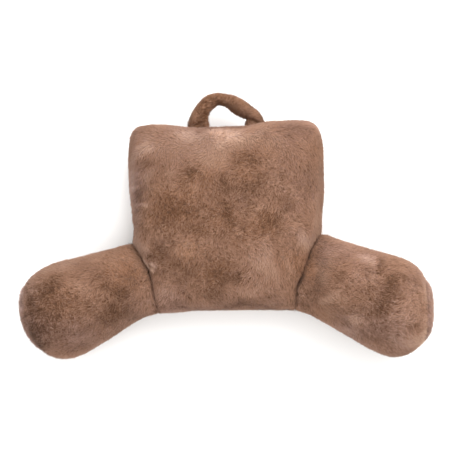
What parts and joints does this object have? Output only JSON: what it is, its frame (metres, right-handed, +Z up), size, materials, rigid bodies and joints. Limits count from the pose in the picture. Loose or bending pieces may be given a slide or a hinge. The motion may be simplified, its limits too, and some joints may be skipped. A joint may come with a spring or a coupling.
{
  "type": "reading pillow with arms",
  "caption": "Filled back-rest pillow lying on its back, with two round arm bolsters splayed out at its lower sides and a padded carrying handle, in short plush fur.",
  "frame": {"origin": "under the middle of the pillow's footprint, on the surface it rests on", "axes": "+X to the right as seen from the front of the pillow, +Y towards its handle end, +Z up out of its front panel"},
  "size_m": [0.904, 0.5996, 0.194],
  "materials": {
    "back_fur": "short dense plush fur, warm brown, mottled where the pile leans different ways",
    "arm_fur": "the same fur, its pile brushed along the arm",
    "cap_fur": "the same fur, a little darker where it faces away from the light",
    "handle_fur": "the same fur, pressed shorter on the padded handle"
  },
  "bodies": {
    "root": {"back_cushion": "back_fur", "arm_left": "arm_fur", "arm_right": "arm_fur", "arm_cap_left": "cap_fur", "arm_cap_right": "cap_fur", "handle": "handle_fur"}
  },
  "joints": []
}
